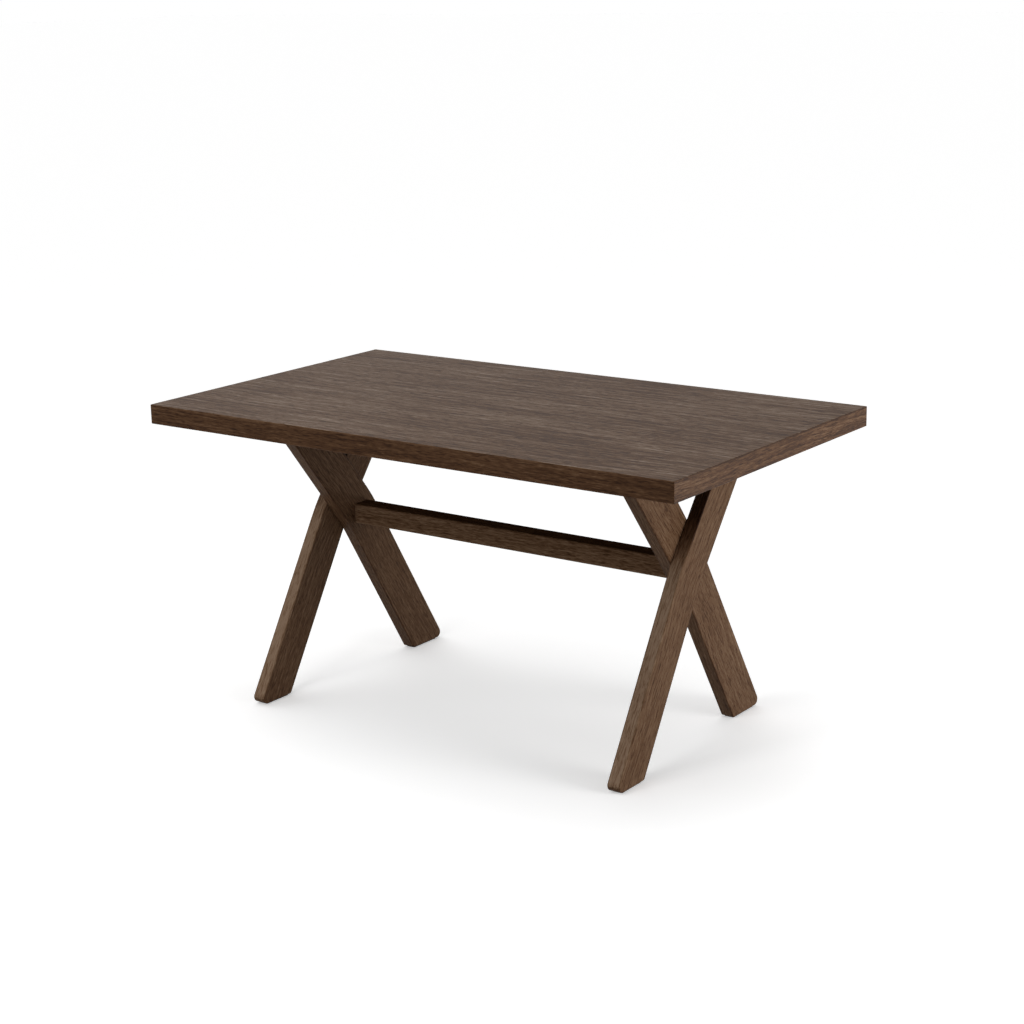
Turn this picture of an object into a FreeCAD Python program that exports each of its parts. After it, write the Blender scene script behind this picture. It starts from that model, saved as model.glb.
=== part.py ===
import FreeCAD, Part
import math
import os

# A sawbuck table: a thick built-up top on two pairs of crossed legs, tied by one stretcher.
# Millimetres, +Z up, +X along the table. The origin is on the floor, under the middle of the top.

# Overall size
table_length = 1492.0
table_width = 856.0
table_height = 760.0

# Top: a face panel and four edges mitred to it, a frame of rails inside, and a panel below
top_thickness = 48.0
face_panel_thickness = 18.0
edge_thickness = 18.0
under_panel_thickness = 9.0
top_edge_round = 2.0
core_rail_width = 60.0
fixing_rail_margin = 15.0

# Legs: flat boards in two layers, each with a slight bend just below the crossing
leg_thickness = 34.0
inner_leg_width = 110.0
outer_leg_width = 96.0
lower_lean = 31.0
upper_lean = 38.0
crossing_height = 468.0
bend_below_crossing = 53.0
bend_radius = 500.0
leg_edge_round = 2.5
toe_round = 14.0
heel_round = 8.0
end_overhang = 200.0

# Stretcher between the inner legs, which meets them in the middle of their bends
stretcher_width = 54.0
stretcher_height = 50.0
stretcher_edge_round = 2.5

# Hanger bolt that draws the stretcher to an inner leg, with its washer and nut
bolt_diameter = 10.0
bolt_depth_in_leg = 22.0
bolt_chamfer = 1.0
bolt_past_nut = 8.0
washer_diameter = 24.0
washer_thickness = 4.0
nut_width = 17.0
nut_height = 8.0
pocket_depth = 34.0
pocket_length = 36.0
pocket_clearance = 1.0

# Dowels beside the bolt, and dowels that join two legs where they cross
dowel_diameter = 12.0
stretcher_dowel_spacing = 34.0
crossing_dowel_spacing = 44.0
dowel_depth_in_leg = 22.0
dowel_depth_in_stretcher = 28.0
dowel_chamfer = 1.0

# Steel angle that holds each leg to the top
angle_length = 60.0
angle_flange = 40.0
angle_thickness = 3.0
angle_bend_radius = 2.0
angle_corner_round = 6.0
angle_hole_spacing = 36.0
angle_hole_from_edge = 14.0

# Wood screws in the angles
screw_length = 28.0
screw_point_length = 5.0
screw_diameter = 4.5
screw_head_diameter = 9.0
screw_head_height = 3.2
screw_head_round = 1.2
screw_slot_width = 1.2
screw_slot_depth = 1.4
screw_slot_length = 5.0

# Floor pads
pad_thickness = 3.0
pad_inset = 2.0
pad_corner_round = 3.0

# Clearance round a fastener in its hole, on the radius
hole_clearance = 0.2

# How close two coordinates are when they count as the same
same_place = 0.01

# Levels and places that follow from these
top_underside = table_height - top_thickness
core_bottom = top_underside + under_panel_thickness
core_top = table_height - face_panel_thickness
inner_half_length = table_length / 2 - edge_thickness
inner_half_width = table_width / 2 - edge_thickness
outer_face_x = table_length / 2 - end_overhang
layer_x = outer_face_x - leg_thickness
inner_face_x = layer_x - leg_thickness
angle_level = top_underside - angle_flange + angle_hole_from_edge
angle_reach = angle_flange - angle_hole_from_edge


def vector(x, y, z):
    return FreeCAD.Vector(x, y, z)


x_axis = vector(1, 0, 0)
z_axis = vector(0, 0, 1)


def block(x_low, x_high, y_low, y_high, z_low, z_high):
    """A box between two corners."""
    return Part.makeBox(x_high - x_low, y_high - y_low, z_high - z_low, vector(x_low, y_low, z_low))


def rod(radius, start, end, chamfer=0.0):
    """A round bar between two points, with both ends chamfered."""
    along = end - start
    bar = Part.makeCylinder(radius, along.Length, start, along)
    if chamfer > 0:
        rims = [edge for edge in bar.Edges if isinstance(edge.Curve, Part.Circle)]
        bar = bar.makeChamfer(chamfer, rims)
    return bar


def mirrored(shape):
    """The same piece at the table's other end."""
    return shape.mirror(vector(0, 0, 0), x_axis)


def polygon_face(points):
    return Part.Face(Part.makePolygon(points + points[:1]))


def rectangle_corners(half_length, half_width):
    """The corners of a rectangle about the middle, in (x, y), from the front left one round."""
    sides = ((-1, -1), (1, -1), (1, 1), (-1, 1))
    return [(side_x * half_length, side_y * half_width) for side_x, side_y in sides]


def runs_along(edge, axis):
    """Whether an edge is parallel to an axis."""
    return abs(abs(edge.tangentAt(edge.FirstParameter).dot(axis)) - 1) < same_place


def lies_at(edge, axis, distance):
    """Whether both ends of an edge are at one distance along an axis."""
    return all(abs(vertex.Point.dot(axis) - distance) < same_place for vertex in edge.Vertexes)


# Top

def slab():
    """The whole top as one block, with every outer edge eased."""
    whole = block(
        -table_length / 2, table_length / 2, -table_width / 2, table_width / 2, top_underside, table_height
    )
    return whole.makeFillet(top_edge_round, whole.Edges)


def mitre_block():
    """What the face panel takes of the slab: its sides slope inwards, to meet the edges in a mitre."""
    def ring(half_length, half_width, level):
        points = [vector(x, y, level) for x, y in rectangle_corners(half_length, half_width)]
        return Part.makePolygon(points + points[:1])

    above = ring(table_length / 2, table_width / 2, table_height)
    below = ring(inner_half_length, inner_half_width, core_top)
    return Part.makeLoft([below, above], True, True)


def edge_pieces():
    """The four edges, mitred to one another at the corners and to the face panel above."""
    outer = rectangle_corners(table_length / 2, table_width / 2)
    inner = rectangle_corners(inner_half_length, inner_half_width)
    rim = slab().cut(mitre_block())
    pieces = {}
    for index, name in enumerate(("edge_front", "edge_right", "edge_back", "edge_left")):
        after = (index + 1) % len(outer)
        plan = [outer[index], outer[after], inner[after], inner[index]]
        side = polygon_face([vector(x, y, top_underside) for x, y in plan]).extrude(z_axis * top_thickness)
        pieces[name] = rim.common(side)
    return pieces


def core_rails():
    """Rails inside the top: two along it, and five across between them."""
    half_long = inner_half_width - core_rail_width
    fixing_half = angle_flange + fixing_rail_margin
    rails = {
        "core_rail_front": block(
            -inner_half_length, inner_half_length, -inner_half_width, -half_long, core_bottom, core_top
        ),
        "core_rail_back": block(
            -inner_half_length, inner_half_length, half_long, inner_half_width, core_bottom, core_top
        ),
        "core_rail_middle": block(
            -core_rail_width / 2, core_rail_width / 2, -half_long, half_long, core_bottom, core_top
        ),
    }
    end = block(
        inner_half_length - core_rail_width, inner_half_length, -half_long, half_long, core_bottom, core_top
    )
    fixing = block(layer_x - fixing_half, layer_x + fixing_half, -half_long, half_long, core_bottom, core_top)
    for hole in top_screw_holes():
        fixing = fixing.cut(hole)
    rails["core_rail_right_end"] = end
    rails["core_rail_left_end"] = mirrored(end)
    rails["fixing_rail_right"] = fixing
    rails["fixing_rail_left"] = mirrored(fixing)
    return rails


def under_panel():
    """The panel that closes the top from below, drilled for the screws of the leg angles."""
    panel = block(
        -inner_half_length, inner_half_length, -inner_half_width, inner_half_width, top_underside, core_bottom
    )
    for hole in top_screw_holes():
        panel = panel.cut(hole).cut(mirrored(hole))
    return panel


# Legs

def leg_axis():
    """The two leans, in radians, and the centre of the bend of a leg whose foot is at the back, in (y, z)."""
    lower = math.radians(lower_lean)
    upper = math.radians(upper_lean)
    bend_y = bend_below_crossing * math.sin(upper)
    bend_z = crossing_height - bend_below_crossing * math.cos(upper)
    tangent = bend_radius * math.tan((upper - lower) / 2)
    start_y = bend_y + tangent * math.sin(lower)
    start_z = bend_z - tangent * math.cos(lower)
    centre_y = start_y - bend_radius * math.cos(lower)
    centre_z = start_z - bend_radius * math.sin(lower)
    return lower, upper, centre_y, centre_z


def leg_side(offset, bottom, top):
    """One long side of a leg in (y, z): its foot, three points of the bend, and its top."""
    lower, upper, centre_y, centre_z = leg_axis()
    radius = bend_radius + offset

    def on_bend(angle):
        return centre_y + radius * math.cos(angle), centre_z + radius * math.sin(angle)

    start = on_bend(lower)
    middle = on_bend((lower + upper) / 2)
    end = on_bend(upper)
    foot = (start[0] + (start[1] - bottom) * math.tan(lower), bottom)
    head = (end[0] - (top - end[1]) * math.tan(upper), top)
    return foot, start, middle, end, head


def rounded_corner(corner, before, after, radius):
    """Start, middle and end of the arc that rounds a corner between two neighbours, all in (y, z)."""
    def towards(point):
        away = math.dist(corner, point)
        return (point[0] - corner[0]) / away, (point[1] - corner[1]) / away

    first = towards(before)
    second = towards(after)
    half_angle = math.acos(first[0] * second[0] + first[1] * second[1]) / 2
    tangent = radius / math.tan(half_angle)
    to_arc = radius / math.sin(half_angle) - radius
    inwards = 2 * math.cos(half_angle)

    def step(direction, length):
        return corner[0] + direction[0] * length, corner[1] + direction[1] * length

    middle = ((first[0] + second[0]) / inwards, (first[1] + second[1]) / inwards)
    return step(first, tangent), step(middle, to_arc), step(second, tangent)


def leg_sides(foot_side):
    """The front and the back long side of a leg in (y, z), as they are with its foot at the back."""
    half_width = (inner_leg_width if foot_side == 1 else outer_leg_width) / 2
    front = leg_side(-half_width, pad_thickness, top_underside)
    back = leg_side(half_width, pad_thickness, top_underside)
    return front, back


def foot_corners(foot_side):
    """The arcs that round a foot's obtuse heel and its pointed toe, each starting on the flat, in (y, z)."""
    front, back = leg_sides(foot_side)
    heel = rounded_corner(front[0], back[0], front[1], heel_round)
    toe = rounded_corner(back[0], front[0], back[1], toe_round)
    return heel, toe


def leg_blank(x_low, foot_side):
    """A leg before its edges are eased. foot_side is 1 for a foot at the back and -1 at the front."""
    def place(point):
        return vector(x_low, foot_side * point[0], point[1])

    front, back = [[place(point) for point in side] for side in leg_sides(foot_side)]
    heel, toe = [[place(point) for point in arc] for arc in foot_corners(foot_side)]
    outline = [
        Part.LineSegment(toe[0], heel[0]),
        Part.Arc(heel[0], heel[1], heel[2]),
        Part.LineSegment(heel[2], front[1]),
        Part.Arc(front[1], front[2], front[3]),
        Part.LineSegment(front[3], front[4]),
        Part.LineSegment(front[4], back[4]),
        Part.LineSegment(back[4], back[3]),
        Part.Arc(back[3], back[2], back[1]),
        Part.LineSegment(back[1], toe[2]),
        Part.Arc(toe[2], toe[1], toe[0]),
    ]
    wire = Part.Wire([line.toShape() for line in outline])
    return Part.Face(wire).extrude(x_axis * leg_thickness)


def eased_leg(x_low, foot_side):
    """A leg with its edges eased along both sides and round the foot."""
    blank = leg_blank(x_low, foot_side)
    eased = []
    for edge in blank.Edges:
        on_face = lies_at(edge, x_axis, x_low) or lies_at(edge, x_axis, x_low + leg_thickness)
        if on_face and not lies_at(edge, z_axis, top_underside):
            eased.append(edge)
    return blank.makeFillet(leg_edge_round, eased)


def bored(piece, places):
    """A piece with holes cut in it."""
    for radius, start, end in places:
        piece = piece.cut(rod(radius, start, end))
    return piece


def holes_for(radius, ends):
    """Holes round a set of bolts or dowels: each one's radius, start and end."""
    slack = x_axis * hole_clearance
    return [(radius + hole_clearance, start - slack, end + slack) for start, end in ends]


def stretcher_holes():
    """The holes of the bolt and the two dowels between the stretcher and an inner leg."""
    return holes_for(bolt_diameter / 2, [bolt_ends()]) + holes_for(dowel_diameter / 2, stretcher_dowel_ends())


def crossing_holes():
    """The holes of the two dowels between an inner leg and an outer leg."""
    return holes_for(dowel_diameter / 2, crossing_dowel_ends())


def leg(x_low, foot_side):
    """A finished leg, bored for its dowels and its bolt and drilled for the screws of its angle."""
    piece = bored(eased_leg(x_low, foot_side), crossing_holes())
    if foot_side == 1:
        piece = bored(piece, stretcher_holes())
    for seat, direction in leg_screw_places(foot_side):
        piece = piece.cut(screw_hole(seat, direction))
    return piece


def floor_pad(x_low, foot_side):
    """A pad on the flat of a foot, inside its rounded corners and eased edges."""
    heel, toe = foot_corners(foot_side)
    near_heel = heel[0][0] + pad_inset
    near_toe = toe[0][0] - pad_inset
    side = leg_edge_round + pad_inset
    y_low, y_high = sorted((foot_side * near_heel, foot_side * near_toe))
    pad = block(x_low + side, x_low + leg_thickness - side, y_low, y_high, 0, pad_thickness)
    return pad.makeFillet(pad_corner_round, [edge for edge in pad.Edges if runs_along(edge, z_axis)])


# Stretcher and its fastenings

def bend_middle():
    """The middle of the bend in an inner leg's axis, in (y, z)."""
    lower, upper, centre_y, centre_z = leg_axis()
    angle = (lower + upper) / 2
    return centre_y + bend_radius * math.cos(angle), centre_z + bend_radius * math.sin(angle)


stretcher_y, stretcher_level = bend_middle()


def bolt_ends():
    """Both ends of the hanger bolt, from the stretcher's pocket to inside the inner leg."""
    nut_end = inner_face_x - pocket_depth - washer_thickness - nut_height
    return (
        vector(nut_end - bolt_past_nut, stretcher_y, stretcher_level),
        vector(inner_face_x + bolt_depth_in_leg, stretcher_y, stretcher_level),
    )


def stretcher_dowel_ends():
    """Both ends of the two dowels beside the bolt."""
    ends = []
    for side in (-1, 1):
        y = stretcher_y + side * stretcher_dowel_spacing / 2
        start = vector(inner_face_x - dowel_depth_in_stretcher, y, stretcher_level)
        end = vector(inner_face_x + dowel_depth_in_leg, y, stretcher_level)
        ends.append((start, end))
    return ends


def crossing_dowel_ends():
    """Both ends of the two dowels that join the legs, one above and one below the middle of the crossing."""
    ends = []
    for side in (-1, 1):
        z = crossing_height + side * crossing_dowel_spacing / 2
        ends.append((vector(layer_x - dowel_depth_in_leg, 0, z), vector(layer_x + dowel_depth_in_leg, 0, z)))
    return ends


def pocket():
    """The pocket in the stretcher's underside where the washer and nut go in."""
    half = washer_diameter / 2 + pocket_clearance
    outer_x = inner_face_x - pocket_depth
    start = vector(outer_x - pocket_length, stretcher_y, stretcher_level)
    end = vector(outer_x, stretcher_y, stretcher_level)
    bottom = stretcher_level - stretcher_height / 2
    mouth = block(start.x, end.x, stretcher_y - half, stretcher_y + half, bottom, stretcher_level)
    return mouth.fuse(rod(half, start, end))


def stretcher():
    front = stretcher_y - stretcher_width / 2
    bottom = stretcher_level - stretcher_height / 2
    beam = block(
        -inner_face_x, inner_face_x, front, front + stretcher_width, bottom, bottom + stretcher_height,
    )
    beam = beam.makeFillet(stretcher_edge_round, [edge for edge in beam.Edges if runs_along(edge, x_axis)])
    beam = bored(beam, stretcher_holes()).cut(pocket())
    return mirrored(bored(mirrored(beam), stretcher_holes()).cut(pocket()))


def hanger_bolt():
    start, end = bolt_ends()
    return rod(bolt_diameter / 2, start, end, bolt_chamfer)


def dowels(ends):
    radius = dowel_diameter / 2
    return Part.makeCompound([rod(radius, start, end, dowel_chamfer) for start, end in ends])


def saddle_washer():
    """A washer with a round top that bears on the pocket's end."""
    radius = washer_diameter / 2
    x_high = inner_face_x - pocket_depth
    x_low = x_high - washer_thickness
    middle = vector(x_low, stretcher_y, stretcher_level)
    disc = rod(radius, middle, middle + x_axis * washer_thickness)
    front = stretcher_y - radius
    lower = block(x_low, x_high, front, front + 2 * radius, stretcher_level - radius, stretcher_level)
    return bored(disc.fuse(lower).removeSplitter(), stretcher_holes()[:1])


def hex_nut():
    x_low = inner_face_x - pocket_depth - washer_thickness - nut_height
    corner = nut_width / math.sqrt(3)
    points = []
    for index in range(6):
        angle = index * math.pi / 3
        y = stretcher_y + corner * math.cos(angle)
        points.append(vector(x_low, y, stretcher_level + corner * math.sin(angle)))
    return bored(polygon_face(points).extrude(x_axis * nut_height), stretcher_holes()[:1])


# Angles and screws. Each angle is on the face of its leg that lies where the two layers meet.

def angle_middle(foot_side):
    """The middle of an angle's length, on the leg's own middle line."""
    level = top_underside - angle_flange / 2
    return -foot_side * (level - crossing_height) * math.tan(math.radians(upper_lean))


def hole_rows(foot_side):
    middle = angle_middle(foot_side)
    return middle - angle_hole_spacing / 2, middle + angle_hole_spacing / 2


def leg_screw_places(foot_side):
    """Seat and direction of the two screws that go into the leg."""
    seat_x = layer_x + foot_side * angle_thickness
    return [(vector(seat_x, y, angle_level), x_axis * -foot_side) for y in hole_rows(foot_side)]


def top_screw_places(foot_side):
    """Seat and direction of the two screws that go up into the top."""
    seat_x = layer_x + foot_side * angle_reach
    seat_z = top_underside - angle_thickness
    return [(vector(seat_x, y, seat_z), z_axis) for y in hole_rows(foot_side)]


def screw_hole(seat, direction):
    return rod(screw_diameter / 2 + hole_clearance, seat, seat + direction * (screw_length + hole_clearance))


def top_screw_holes():
    return [screw_hole(seat, direction) for side in (1, -1) for seat, direction in top_screw_places(side)]


def leg_angle(foot_side):
    """A bent steel angle between a leg's face and the underside of the top."""
    far_x = layer_x + foot_side * angle_flange
    near_x = layer_x + foot_side * angle_thickness
    bottom = top_underside - angle_flange
    seat = top_underside - angle_thickness
    start_y = angle_middle(foot_side) - angle_length / 2
    profile = [
        vector(layer_x, start_y, bottom),
        vector(near_x, start_y, bottom),
        vector(near_x, start_y, seat),
        vector(far_x, start_y, seat),
        vector(far_x, start_y, top_underside),
        vector(layer_x, start_y, top_underside),
    ]
    angle = polygon_face(profile).extrude(vector(0, angle_length, 0))

    def edges_at(x, z):
        return [edge for edge in angle.Edges if lies_at(edge, x_axis, x) and lies_at(edge, z_axis, z)]

    angle = angle.makeFillet(angle_bend_radius, edges_at(near_x, seat))
    angle = angle.makeFillet(angle_bend_radius + angle_thickness, edges_at(layer_x, top_underside))
    corners = []
    for edge in angle.Edges:
        low_corner = lies_at(edge, z_axis, bottom) and runs_along(edge, x_axis)
        far_corner = lies_at(edge, x_axis, far_x) and runs_along(edge, z_axis)
        if low_corner or far_corner:
            corners.append(edge)
    angle = angle.makeFillet(angle_corner_round, corners)
    for seat_point, direction in leg_screw_places(foot_side) + top_screw_places(foot_side):
        angle = angle.cut(screw_hole(seat_point, direction))
    return angle


def screw(seat, direction):
    """A pan-head wood screw with a cross slot. seat is under its head."""
    radius = screw_diameter / 2
    straight = screw_length - screw_point_length
    shank = rod(radius, vector(0, 0, 0), z_axis * straight)
    point = Part.makeCone(radius, 0, screw_point_length, z_axis * straight, z_axis)
    head = rod(screw_head_diameter / 2, z_axis * -screw_head_height, vector(0, 0, 0))
    rim = [
        edge
        for edge in head.Edges
        if isinstance(edge.Curve, Part.Circle) and edge.Curve.Center.z < -screw_head_height / 2
    ]
    head = head.makeFillet(screw_head_round, rim)
    half_slot = screw_slot_length / 2
    half_width = screw_slot_width / 2
    slot_top = screw_slot_depth - screw_head_height
    first = block(-half_slot, half_slot, -half_width, half_width, -screw_head_height, slot_top)
    second = block(-half_width, half_width, -half_slot, half_slot, -screw_head_height, slot_top)
    whole = shank.fuse([point, head]).cut(first).cut(second).removeSplitter()
    whole.Placement = FreeCAD.Placement(seat, FreeCAD.Rotation(z_axis, direction))
    return whole


def screw_group(places):
    return Part.makeCompound([screw(seat, direction) for seat, direction in places])


# All the pieces, each under its name

def top_nodes():
    nodes = {"face_panel": slab().common(mitre_block()), "under_panel": under_panel()}
    nodes.update(edge_pieces())
    nodes.update(core_rails())
    return nodes


def right_end_nodes():
    """The crossed legs at the right end, and what fastens them. The left end mirrors them."""
    return {
        "inner_leg": leg(inner_face_x, 1),
        "outer_leg": leg(layer_x, -1),
        "inner_leg_pad": floor_pad(inner_face_x, 1),
        "outer_leg_pad": floor_pad(layer_x, -1),
        "inner_leg_angle": leg_angle(1),
        "outer_leg_angle": leg_angle(-1),
        "leg_screws": screw_group(leg_screw_places(1) + leg_screw_places(-1)),
        "top_screws": screw_group(top_screw_places(1) + top_screw_places(-1)),
        "hanger_bolt": hanger_bolt(),
        "saddle_washer": saddle_washer(),
        "hex_nut": hex_nut(),
        "stretcher_dowels": dowels(stretcher_dowel_ends()),
        "crossing_dowels": dowels(crossing_dowel_ends()),
    }


all_nodes = top_nodes()
all_nodes["stretcher"] = stretcher()
for name, shape in right_end_nodes().items():
    all_nodes[name + "_right"] = shape
    all_nodes[name + "_left"] = mirrored(shape)

os.makedirs("parts", exist_ok=True)
for name, shape in all_nodes.items():
    shape.exportStep("parts/" + name + ".step")
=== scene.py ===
import math
from dataclasses import dataclass, replace

import bpy
from mathutils import Matrix, Vector


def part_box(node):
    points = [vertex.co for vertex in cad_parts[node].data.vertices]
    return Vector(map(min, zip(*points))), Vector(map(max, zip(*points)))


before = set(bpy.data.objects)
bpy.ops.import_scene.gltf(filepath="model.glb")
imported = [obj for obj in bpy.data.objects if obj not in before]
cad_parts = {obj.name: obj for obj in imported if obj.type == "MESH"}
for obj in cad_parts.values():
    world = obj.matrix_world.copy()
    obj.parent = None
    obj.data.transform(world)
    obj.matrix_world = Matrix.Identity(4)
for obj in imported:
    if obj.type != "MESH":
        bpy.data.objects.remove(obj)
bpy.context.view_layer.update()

# A sawbuck table of dark-stained oak, in metres, in the part's own frame.

# Camera: where it stands about the table, what it looks at, its lens and how far it sees
camera_azimuth = math.radians(36.33)
camera_elevation = math.radians(14.78)
camera_roll = math.radians(-1.2)
camera_distance = 4.997
camera_target = Vector((0.0236, -0.0003, 0.4999))
camera_lens_mm = 72.92
camera_sensor_mm = 36.0
camera_reach = 200.0

# Light from all round and from above: what a white face turned to it would show, 1 being white
world_light = 0.25
overhead_light = 0.46
overhead_place = Vector((-1.5, 0.8, 3.0))
overhead_aim = Vector((0.0, 0.0, 0.0))
overhead_spread = math.radians(75.0)

# Soft boxes at the right end and in front
side_lamp_place = Vector((3.0, 0.25, 0.65))
side_lamp_aim = Vector((0.4, 0.0, 0.45))
side_lamp_size = 1.2
side_lamp_watts = 38.0
front_lamp_place = Vector((-0.3, -2.8, 2.0))
front_lamp_aim = Vector((0.0, 0.0, 0.4))
front_lamp_size = 1.5
front_lamp_watts = 28.0

# Floor: how pale it is where it is seen and where it only lights the table, and a lift to show white
floor_seen = 1.0
floor_bounce = 0.22
floor_lift = 0.345
floor_half_size = 60.0

# Legs: the leans of their lower and upper stretch, and the bend between the two
lower_lean = math.radians(31.0)
upper_lean = math.radians(38.0)
crossing_height = 0.468
bend_below_crossing = 0.053
bend_radius = 0.5
inner_leg_width = 0.11
outer_leg_width = 0.096

ends = ("left", "right")
white = (1.0, 1.0, 1.0, 1.0)


def linear(red, green, blue):
    """A colour given in sRGB values from 0 to 255, as the linear one that shaders take."""
    parts = [value / 255 for value in (red, green, blue)]
    parts = [part / 12.92 if part <= 0.04045 else ((part + 0.055) / 1.055) ** 2.4 for part in parts]
    return (*parts, 1.0)


# Shader building

class Number:
    """A number that varies over a surface. Sums, products and the like become math nodes."""

    def __init__(self, tree, socket):
        self.tree = tree
        self.socket = socket

    def math(self, operation, *others):
        """What one of Blender's math operations makes of this number and others."""
        node = self.tree.nodes.new("ShaderNodeMath")
        node.operation = operation
        for socket, value in zip(node.inputs, (self, *others)):
            feed(self.tree, socket, value)
        return Number(self.tree, node.outputs[0])

    def __add__(self, other):
        return self.math("ADD", other)

    def __sub__(self, other):
        return self.math("SUBTRACT", other)

    def __rsub__(self, constant):
        return self * -1.0 + constant

    def __mul__(self, other):
        return self.math("MULTIPLY", other)

    def __truediv__(self, other):
        return self.math("DIVIDE", other)

    def absolute(self):
        return self.math("ABSOLUTE")

    def between(self, none_at, all_at):
        """0 up to none_at, 1 past all_at, and a smooth step between them. Either may be the larger one."""
        node = self.tree.nodes.new("ShaderNodeMapRange")
        node.interpolation_type = "SMOOTHSTEP"
        feed(self.tree, node.inputs["Value"], self)
        if none_at < all_at:
            limits = (none_at, all_at, 0.0, 1.0)
        else:
            limits = (all_at, none_at, 1.0, 0.0)
        for name, limit in zip(("From Min", "From Max", "To Min", "To Max"), limits):
            node.inputs[name].default_value = limit
        return Number(self.tree, node.outputs["Result"])


@dataclass
class Mark:
    """Noise of one kind: the size of a blotch along three axes in metres, and how it is broken up."""
    size: tuple
    detail: float
    roughness: float
    seed: float


def feed(tree, socket, value):
    """Gives a node's input a constant, or joins it to what varies."""
    if isinstance(value, Number):
        tree.links.new(value.socket, socket)
    elif isinstance(value, bpy.types.NodeSocket):
        tree.links.new(value, socket)
    else:
        socket.default_value = value


def object_axes(tree):
    """The three coordinates of a point in the part's frame."""
    place = tree.nodes.new("ShaderNodeTexCoord")
    split = tree.nodes.new("ShaderNodeSeparateXYZ")
    tree.links.new(place.outputs["Object"], split.inputs[0])
    return [Number(tree, output) for output in split.outputs]


# Blender's noise lies about this
noise_middle = 0.5


def noise(tree, point, mark, seed):
    """Smooth noise about 0. point holds three numbers, in metres, and seed tells materials apart."""
    join = tree.nodes.new("ShaderNodeCombineXYZ")
    for socket, distance, size in zip(join.inputs, point, mark.size):
        feed(tree, socket, distance / size)
    node = tree.nodes.new("ShaderNodeTexNoise")
    node.noise_dimensions = "4D"
    tree.links.new(join.outputs[0], node.inputs["Vector"])
    node.inputs["W"].default_value = seed + mark.seed
    node.inputs["Scale"].default_value = 1.0
    node.inputs["Detail"].default_value = mark.detail
    node.inputs["Roughness"].default_value = mark.roughness
    return Number(tree, node.outputs["Fac"]) - noise_middle


def colour_ramp(tree, factor, stops):
    """A colour from a number: stops holds pairs of a place from 0 to 1 and a colour."""
    node = tree.nodes.new("ShaderNodeValToRGB")
    ramp = node.color_ramp
    while len(ramp.elements) < len(stops):
        ramp.elements.new(1.0)
    for element, (place, colour) in zip(ramp.elements, stops):
        element.position = place
        element.color = colour
    feed(tree, node.inputs["Fac"], factor)
    return node.outputs["Color"]


def bump(tree, height, relief, strength):
    """A surface normal tilted by a height, whose unit is the relief in metres."""
    node = tree.nodes.new("ShaderNodeBump")
    node.inputs["Distance"].default_value = relief
    node.inputs["Strength"].default_value = strength
    feed(tree, node.inputs["Height"], height)
    return node.outputs["Normal"]


def new_material(name):
    """A new material, with its node tree and its shader."""
    material = bpy.data.materials.new(name)
    material.use_nodes = True
    return material, material.node_tree, material.node_tree.nodes["Principled BSDF"]


def put_on(node_name, material):
    """Gives a CAD node one material all over."""
    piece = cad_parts[node_name]
    piece.data.materials.clear()
    piece.data.materials.append(material)


# Grain directions

def straight_grain(node_name, lengthwise, sideways):
    """The grain of a straight board: the distance along it, the two distances across it from the board's
    middle, and half the board's two sizes. lengthwise and sideways are 0 for X and 1 for Y."""
    def place(tree):
        *level_axes, z = object_axes(tree)
        low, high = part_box(node_name)
        middle = (low + high) / 2
        half = (high - low) / 2
        across = level_axes[sideways] - middle[sideways]
        return level_axes[lengthwise], across, z - middle.z, half[sideways], half.z
    return place


def grain_along_x(node_name):
    return straight_grain(node_name, lengthwise=0, sideways=1)


def grain_along_y(node_name):
    return straight_grain(node_name, lengthwise=1, sideways=0)


def grain_along_leg(node_name, foot_side, width):
    """The same for a leg, whose grain follows its bend. foot_side is 1 for a foot at the back, else -1."""
    bend_y = bend_below_crossing * math.sin(upper_lean)
    bend_z = crossing_height - bend_below_crossing * math.cos(upper_lean)
    tangent = bend_radius * math.tan((upper_lean - lower_lean) / 2)
    centre_y = bend_y + tangent * math.sin(lower_lean) - bend_radius * math.cos(lower_lean)
    centre_z = bend_z - tangent * math.cos(lower_lean) - bend_radius * math.sin(lower_lean)

    def place(tree):
        x, y, z = object_axes(tree)
        low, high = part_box(node_name)
        out = y * foot_side - centre_y
        up = z - centre_z
        turn = up.math("ARCTAN2", out).math("MAXIMUM", lower_lean).math("MINIMUM", upper_lean)
        cosine = turn.math("COSINE")
        sine = turn.math("SINE")
        along = turn * bend_radius + up * cosine - out * sine
        across = out * cosine + up * sine - bend_radius
        return along, across, x - (low.x + high.x) / 2, width / 2, (high.x - low.x) / 2
    return place


# Wood

@dataclass
class WoodLook:
    """How one kind of board looks. Strengths of marks are in steps of the tone, and sizes in metres."""
    tones: tuple
    patches: float
    streaks: float
    streak_size: tuple
    dashes: float
    dash_size: tuple
    rings: float
    ring_spacing: float
    fibres: float
    pores: float
    gloss: float
    roughness: float
    edges: float = 0.0
    shift: float = 0.0
    upper_side_light_and_shade: float = 0.0
    top_face_painted_shade: float = 0.0


# Tones: marks make a material paler or darker than usual_tone, and wood's tones run from 0 to tone_span
usual_tone = 0.5
tone_span = 1.25

# How much the finer parts of a mark in wood count, against its coarse ones
grain_roughness = 0.65


def grain_mark(length, width, detail, seed):
    """A mark that is long along the grain and narrow across it."""
    return Mark((length, width, width), detail, grain_roughness, seed)


# Marks that are of one size in all the woods
wander_mark = grain_mark(0.3, 0.12, detail=1.0, seed=0.0)
swell_mark = grain_mark(0.9, 0.2, detail=1.0, seed=3.1)
cluster_mark = grain_mark(0.3, 0.07, detail=1.0, seed=29.6)
patch_mark = grain_mark(0.6, 0.1, detail=2.0, seed=20.2)
fibre_mark = grain_mark(0.02, 0.002, detail=2.0, seed=11.3)
pore_mark = grain_mark(0.012, 0.0014, detail=1.0, seed=15.9)

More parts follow.
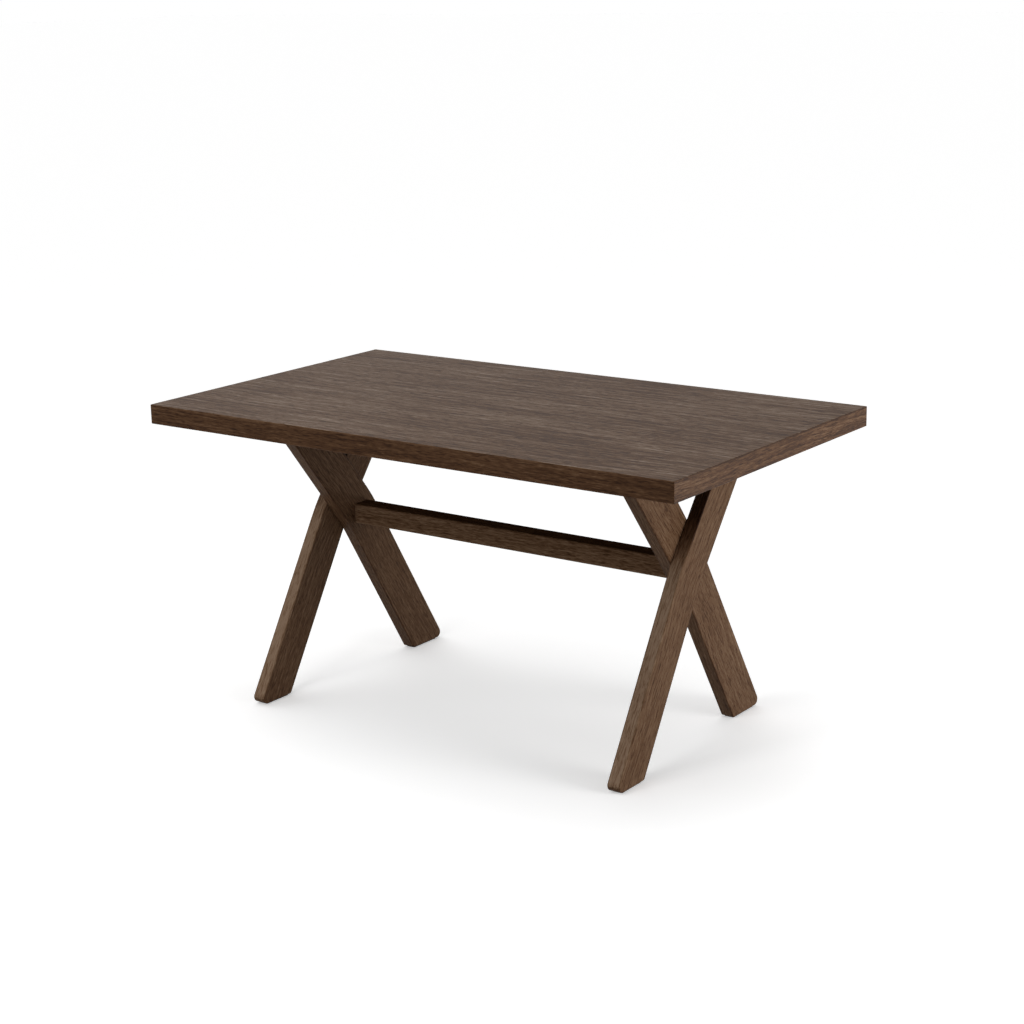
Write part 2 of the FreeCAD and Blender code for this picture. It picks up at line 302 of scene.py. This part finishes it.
# How far the fibres wander from side to side, how far the swell bends the rings, and how uneven an edge is
wander_reach = 0.012
swell_reach = 0.22
edge_waver = 0.004

# Where there is none of a mark and all of it: places in a growth ring, then heights of noise
early_wood = (0.32, 0.04)
late_wood = (0.4, 0.95)
cluster_limits = (-0.12, 0.12)
dash_limits = (0.05, 0.2)
pore_limits = (0.1, 0.2)

# Pores crowd in the early wood, and this share of them shows elsewhere too
pores_elsewhere = 0.3

# Where a tone fades out and is full: distances from a long edge, from a face (for the painted light and
# shade on a leg's upper side and the painted shade on a board's upper face) and up a leg (where the
# painted light turns to painted shade)
edge_limits = (0.0045, 0.0005)
face_limits = (-0.004, -0.001)
light_to_shade_limits = (0.46, 0.26)

# What the marks do to the relief and the roughness
wood_relief = 0.0004
wood_relief_strength = 0.35
late_wood_height = 0.25
fibre_height = 0.5
dash_depth = 0.4
fibre_roughness = 0.16
pore_roughness = 0.15


def wood(name, grain, seed, look):
    """Open-grained wood: growth rings in clusters, streaks, dashes, fibres, pores and its long edges, and
    painted light and shade on a leg's upper side and a board's upper face.
    """
    material, tree, shader = new_material(name)
    along, across, depth, half_across, half_depth = grain(tree)

    def grain_noise(mark, sideways):
        return noise(tree, (along, sideways, depth), mark, seed)

    # the fibres wander a little from side to side along the board
    side = across + grain_noise(wander_mark, across) * wander_reach
    # the rings are lines along the board, bent by a long swell, and they show more in some places
    swell = grain_noise(swell_mark, across) * swell_reach
    ring = ((side + depth + swell) / look.ring_spacing).math("FRACT")
    early = ring.between(*early_wood)
    late = ring.between(*late_wood)
    cluster = grain_noise(cluster_mark, side).between(*cluster_limits)
    patches = grain_noise(patch_mark, side)
    streaks = grain_noise(grain_mark(*look.streak_size, detail=4.0, seed=7.7), side)
    dash = grain_noise(grain_mark(*look.dash_size, detail=1.0, seed=25.4), side).between(*dash_limits)
    fibres = grain_noise(fibre_mark, side)
    pore_share = early * (1.0 - pores_elsewhere) + pores_elsewhere
    pore = grain_noise(pore_mark, side).between(*pore_limits) * pore_share
    tone = patches * look.patches + streaks * look.streaks + fibres * look.fibres
    tone = tone + (late - early) * cluster * look.rings - dash * look.dashes - pore * look.pores
    tone = tone + (usual_tone + look.shift)
    # along the long edges, what is left to both faces is small
    to_edge = (half_across + half_depth) - (across.absolute() + depth.absolute())
    edge = (to_edge + streaks * edge_waver).between(*edge_limits)
    # a positive edge strength pales the long edges as a painted highlight; a negative one darkens them
    # into a thin dark line
    tone = tone + edge * look.edges
    if look.upper_side_light_and_shade:
        # painted light and shade: the side of a leg that faces up is paler below the crossing, as painted
        # light, and darker above it, as painted shade from the top
        faces_up = (across - half_across).between(*face_limits)
        lit_foot_or_shaded_head = along.between(*light_to_shade_limits) * 2.0 - 1.0
        tone = tone + faces_up * lit_foot_or_shaded_head * look.upper_side_light_and_shade
    if look.top_face_painted_shade:
        # painted shade: the upper face of a board is darkened, standing for the shade it lies in under the
        # table's top
        tone = tone + (depth - half_depth).between(*face_limits) * look.top_face_painted_shade
    stops = [(place / tone_span, colour) for place, colour in look.tones]
    feed(tree, shader.inputs["Base Color"], colour_ramp(tree, tone / tone_span, stops))
    roughness = fibres * fibre_roughness + pore * pore_roughness + look.roughness
    feed(tree, shader.inputs["Roughness"], roughness)
    shader.inputs["Specular IOR Level"].default_value = look.gloss
    height = late * late_wood_height + fibres * fibre_height - pore - dash * dash_depth
    feed(tree, shader.inputs["Normal"], bump(tree, height, wood_relief, wood_relief_strength))
    return material


# Colours of the woods: pairs of a tone and what it shows
dark_tones = (
    (0.05, linear(46, 27, 15)),
    (0.35, linear(71, 47, 30)),
    (0.6, linear(95, 68, 47)),
    (0.95, linear(126, 99, 76)),
    (1.25, linear(154, 128, 106)),
)
# The top's pale fibres are greyer than those of the edges and the frame, and its pores a warmer brown
top_tones = (
    (0.05, linear(46, 26, 11)),
    (0.35, linear(71, 47, 26)),
    (0.6, linear(95, 75, 59)),
    (0.95, linear(126, 109, 94)),
    (1.25, linear(154, 139, 126)),
)
panel_tones = (
    (0.1, linear(46, 34, 26)),
    (0.5, linear(68, 51, 39)),
    (0.9, linear(88, 69, 54)),
)
pine_tones = (
    (0.1, linear(156, 116, 72)),
    (0.5, linear(198, 163, 116)),
    (0.9, linear(220, 190, 146)),
)
beech_tones = (
    (0.1, linear(170, 125, 84)),
    (0.5, linear(204, 164, 122)),
    (0.9, linear(222, 188, 150)),
)

# In the top and the front and back edges, the pale long edges are a painted highlight
top_look = WoodLook(
    tones=top_tones, gloss=0.06, roughness=0.55,
    patches=0.7, streaks=1.7, streak_size=(0.22, 0.01), dashes=0.37, dash_size=(0.03, 0.005),
    rings=0.15, ring_spacing=0.018, fibres=1.8, pores=0.55, edges=0.12, shift=-0.05,
)
front_look = WoodLook(
    tones=dark_tones, gloss=0.06, roughness=0.55,
    patches=0.5, streaks=1.15, streak_size=(0.2, 0.007), dashes=0.32, dash_size=(0.03, 0.003),
    rings=0.12, ring_spacing=0.011, fibres=1.2, pores=0.3, edges=0.12, shift=-0.05,
)
end_look = replace(front_look, gloss=0.14, streaks=1.4, fibres=1.6, edges=-0.25)
frame_look = WoodLook(
    tones=dark_tones, gloss=0.07, roughness=0.55,
    patches=0.3, streaks=0.8, streak_size=(0.15, 0.0055), dashes=0.3, dash_size=(0.024, 0.0028),
    rings=0.1, ring_spacing=0.009, fibres=1.25, pores=0.45,
)
# The stretcher is paler overall as painted light against the shade under the top, its pale long edges are
# a painted highlight, and its upper face is darkened as painted shade
stretcher_look = replace(frame_look, gloss=0.0, edges=0.3, shift=0.31, top_face_painted_shade=-0.45)
# The legs' upward side gets painted light below the crossing and painted shade above it
leg_look = replace(frame_look, edges=-0.3, shift=0.2, upper_side_light_and_shade=0.42)
panel_look = WoodLook(
    tones=panel_tones, gloss=0.08, roughness=0.7,
    patches=0.5, streaks=0.5, streak_size=(0.2, 0.012), dashes=0.1, dash_size=(0.08, 0.008),
    rings=0.15, ring_spacing=0.03, fibres=0.3, pores=0.1,
)
pine_look = WoodLook(
    tones=pine_tones, gloss=0.2, roughness=0.65,
    patches=0.4, streaks=0.4, streak_size=(0.25, 0.008), dashes=0.0, dash_size=(0.05, 0.005),
    rings=-0.2, ring_spacing=0.006, fibres=0.3, pores=0.05,
)
beech_look = WoodLook(
    tones=beech_tones, gloss=0.2, roughness=0.6,
    patches=0.4, streaks=0.4, streak_size=(0.05, 0.004), dashes=0.2, dash_size=(0.005, 0.001),
    rings=0.05, ring_spacing=0.003, fibres=0.4, pores=0.25,
)

# Straight boards, with the direction of their grain and their look
boards = {
    "face_panel": (grain_along_x, top_look),
    "edge_front": (grain_along_x, front_look),
    "edge_back": (grain_along_x, front_look),
    "edge_left": (grain_along_y, end_look),
    "edge_right": (grain_along_y, end_look),
    "stretcher": (grain_along_x, stretcher_look),
    "under_panel": (grain_along_x, panel_look),
    "core_rail_front": (grain_along_x, pine_look),
    "core_rail_back": (grain_along_x, pine_look),
    "core_rail_middle": (grain_along_y, pine_look),
    "core_rail_left_end": (grain_along_y, pine_look),
    "core_rail_right_end": (grain_along_y, pine_look),
    "fixing_rail_left": (grain_along_y, pine_look),
    "fixing_rail_right": (grain_along_y, pine_look),
    "stretcher_dowels_left": (grain_along_x, beech_look),
    "stretcher_dowels_right": (grain_along_x, beech_look),
    "crossing_dowels_left": (grain_along_x, beech_look),
    "crossing_dowels_right": (grain_along_x, beech_look),
}

# Legs, with the side that their foot is on and their width
legs = (("inner_leg", 1, inner_leg_width), ("outer_leg", -1, outer_leg_width))

# Seeds of the figure in each board: a step between boards, and for legs a start and steps to end and layer
board_seed_step = 10.0
leg_seed_start = 300.0
end_seed_step = 20.0
layer_seed_step = 10.0

for index, (node_name, (direction, look)) in enumerate(boards.items()):
    put_on(node_name, wood("wood_" + node_name, direction(node_name), board_seed_step * index, look))

for index, end in enumerate(ends):
    for leg, foot_side, width in legs:
        node_name = leg + "_" + end
        grain = grain_along_leg(node_name, foot_side, width)
        seed = leg_seed_start + end_seed_step * index + layer_seed_step * foot_side
        put_on(node_name, wood("wood_" + node_name, grain, seed, leg_look))


# Zinc-plated steel: clouds, brush marks and scuffs, and what they do to its tone, roughness and relief

cloud_mark = Mark((0.012, 0.012, 0.012), detail=3.0, roughness=0.55, seed=0.0)
brush_mark = Mark((0.0006, 0.02, 0.0006), detail=1.0, roughness=0.5, seed=4.4)
scuff_mark = Mark((0.004, 0.004, 0.0012), detail=2.0, roughness=0.6, seed=9.1)
scuff_limits = (0.16, 0.26)
cloud_tone = 1.2
brush_tone = 0.3
scuff_tone = 0.25
plating_roughness = 0.5
cloud_roughness = 0.25
scuff_roughness = 0.12
plating_relief = 0.0001
plating_relief_strength = 0.2
scuff_height = 0.5


def plated_steel(name, tones, seed):
    """Zinc-plated steel: cloudy plating, faint brush marks and small scuffs."""
    material, tree, shader = new_material(name)
    point = object_axes(tree)
    cloud = noise(tree, point, cloud_mark, seed)
    brushed = noise(tree, point, brush_mark, seed)
    scuff = noise(tree, point, scuff_mark, seed).between(*scuff_limits)
    tone = cloud * cloud_tone + brushed * brush_tone + scuff * scuff_tone + usual_tone
    feed(tree, shader.inputs["Base Color"], colour_ramp(tree, tone, tones))
    shader.inputs["Metallic"].default_value = 1.0
    roughness = cloud * cloud_roughness + scuff * scuff_roughness + plating_roughness
    feed(tree, shader.inputs["Roughness"], roughness)
    height = brushed + scuff * scuff_height
    feed(tree, shader.inputs["Normal"], bump(tree, height, plating_relief, plating_relief_strength))
    return material


# Felt: tangled fibres and tufts, and what they do to its tone, roughness and relief

tangle_mark = Mark((0.0012, 0.0012, 0.0012), detail=3.0, roughness=0.65, seed=0.0)
tuft_mark = Mark((0.006, 0.006, 0.006), detail=2.0, roughness=0.5, seed=5.0)
tangle_tone = 1.1
tuft_tone = 0.6
felt_roughness = 0.95
tangle_roughness = 0.1
felt_gloss = 0.1
felt_sheen = 0.25
felt_relief = 0.0006
felt_relief_strength = 0.6


def felt(name, tones, seed):
    """Pressed wool: tangled fibres and a soft nap."""
    material, tree, shader = new_material(name)
    point = object_axes(tree)
    tangle = noise(tree, point, tangle_mark, seed)
    tufts = noise(tree, point, tuft_mark, seed)
    tone = tangle * tangle_tone + tufts * tuft_tone + usual_tone
    feed(tree, shader.inputs["Base Color"], colour_ramp(tree, tone, tones))
    feed(tree, shader.inputs["Roughness"], tangle * tangle_roughness + felt_roughness)
    shader.inputs["Specular IOR Level"].default_value = felt_gloss
    shader.inputs["Sheen Weight"].default_value = felt_sheen
    feed(tree, shader.inputs["Normal"], bump(tree, tangle, felt_relief, felt_relief_strength))
    return material


zinc_tones = ((0.1, linear(94, 95, 93)), (0.9, linear(134, 135, 133)))
screw_tones = ((0.1, linear(104, 99, 87)), (0.9, linear(148, 142, 127)))
felt_tones = ((0.1, linear(40, 33, 28)), (0.9, linear(84, 72, 62)))

zinc = plated_steel("zinc_plating", zinc_tones, seed=500.0)
screw_zinc = plated_steel("screw_plating", screw_tones, seed=520.0)
pad_felt = felt("brown_felt", felt_tones, seed=540.0)

for end in ends:
    for piece in ("inner_leg_angle", "outer_leg_angle", "hanger_bolt", "saddle_washer", "hex_nut"):
        put_on(piece + "_" + end, zinc)
    for piece in ("leg_screws", "top_screws"):
        put_on(piece + "_" + end, screw_zinc)
    for piece in ("inner_leg_pad", "outer_leg_pad"):
        put_on(piece + "_" + end, pad_felt)


# Floor, light and camera

def seen_directly(tree, *ray_kinds):
    """1 for a ray from the camera or of one of the other kinds, otherwise 0."""
    path = tree.nodes.new("ShaderNodeLightPath")
    seen = Number(tree, path.outputs["Is Camera Ray"])
    for kind in ray_kinds:
        seen = seen.math("MAXIMUM", Number(tree, path.outputs[kind]))
    return seen


def make_floor():
    """A wide pale floor, white where no shadow falls. From below it is clear, so that it hides nothing."""
    half = floor_half_size
    corners = [(-half, -half, 0.0), (half, -half, 0.0), (half, half, 0.0), (-half, half, 0.0)]
    mesh = bpy.data.meshes.new("floor")
    mesh.from_pydata(corners, [], [(0, 1, 2, 3)])
    floor = bpy.data.objects.new("floor", mesh)
    bpy.context.scene.collection.objects.link(floor)
    material = bpy.data.materials.new("floor")
    material.use_nodes = True
    tree = material.node_tree
    tree.nodes.clear()
    output = tree.nodes.new("ShaderNodeOutputMaterial")
    matt = tree.nodes.new("ShaderNodeBsdfDiffuse")
    seen = seen_directly(tree, "Is Glossy Ray")
    feed(tree, matt.inputs["Color"], seen * (floor_seen - floor_bounce) + floor_bounce)
    lift = tree.nodes.new("ShaderNodeEmission")
    feed(tree, lift.inputs["Strength"], seen * floor_lift)
    both = tree.nodes.new("ShaderNodeAddShader")
    tree.links.new(matt.outputs[0], both.inputs[0])
    tree.links.new(lift.outputs[0], both.inputs[1])
    clear = tree.nodes.new("ShaderNodeBsdfTransparent")
    facing = tree.nodes.new("ShaderNodeNewGeometry")
    choose = tree.nodes.new("ShaderNodeMixShader")
    tree.links.new(facing.outputs["Backfacing"], choose.inputs["Fac"])
    tree.links.new(both.outputs[0], choose.inputs[1])
    tree.links.new(clear.outputs[0], choose.inputs[2])
    tree.links.new(choose.outputs[0], output.inputs["Surface"])
    mesh.materials.append(material)


def make_world():
    """White where it is seen or mirrored, and an even soft light on the object."""
    world = bpy.data.worlds.new("studio")
    bpy.context.scene.world = world
    world.use_nodes = True
    tree = world.node_tree
    tree.nodes.clear()
    output = tree.nodes.new("ShaderNodeOutputWorld")
    light = tree.nodes.new("ShaderNodeBackground")
    light.inputs["Strength"].default_value = world_light
    backdrop = tree.nodes.new("ShaderNodeBackground")
    choose = tree.nodes.new("ShaderNodeMixShader")
    feed(tree, choose.inputs["Fac"], seen_directly(tree, "Is Glossy Ray", "Is Transmission Ray"))
    for background, socket in ((light, choose.inputs[1]), (backdrop, choose.inputs[2])):
        background.inputs["Color"].default_value = white
        tree.links.new(background.outputs[0], socket)
    tree.links.new(choose.outputs[0], output.inputs["Surface"])


def add_lamp(name, data, place, aim):
    """Stands a lamp at a place and turns it to what it lights."""
    lamp = bpy.data.objects.new(name, data)
    lamp.location = place
    lamp.rotation_euler = (aim - place).to_track_quat("-Z", "Y").to_euler()
    bpy.context.scene.collection.objects.link(lamp)


def add_soft_box(name, size, watts, place, aim):
    """A square lamp that shines evenly over its whole face."""
    box = bpy.data.lights.new(name, "AREA")
    box.shape = "SQUARE"
    box.size = size
    box.energy = watts
    add_lamp(name, box, place, aim)


def make_lamps():
    """A broad light from above, and soft boxes at the right end and in front."""
    overhead = bpy.data.lights.new("overhead", "SUN")
    overhead.energy = overhead_light * math.pi
    overhead.angle = overhead_spread
    add_lamp("overhead", overhead, overhead_place, overhead_aim)
    add_soft_box("side", side_lamp_size, side_lamp_watts, side_lamp_place, side_lamp_aim)
    add_soft_box("front", front_lamp_size, front_lamp_watts, front_lamp_place, front_lamp_aim)


def make_camera():
    """The camera, turned to its target and then rolled about its line of sight."""
    data = bpy.data.cameras.new("camera")
    data.sensor_fit = "HORIZONTAL"
    data.sensor_width = camera_sensor_mm
    data.lens = camera_lens_mm
    data.clip_end = camera_reach
    camera = bpy.data.objects.new("camera", data)
    bpy.context.scene.collection.objects.link(camera)
    back = Vector((
        math.sin(camera_azimuth) * math.cos(camera_elevation),
        -math.cos(camera_azimuth) * math.cos(camera_elevation),
        math.sin(camera_elevation),
    ))
    right = Vector((math.cos(camera_azimuth), math.sin(camera_azimuth), 0.0))
    up = back.cross(right)
    turned_right = right * math.cos(camera_roll) + up * math.sin(camera_roll)
    turned_up = up * math.cos(camera_roll) - right * math.sin(camera_roll)
    turn = Matrix((turned_right, turned_up, back)).transposed()
    camera.matrix_world = Matrix.Translation(camera_target + back * camera_distance) @ turn.to_4x4()
    bpy.context.scene.camera = camera


make_floor()
make_world()
make_lamps()
make_camera()
bpy.context.scene.view_settings.view_transform = "Standard"
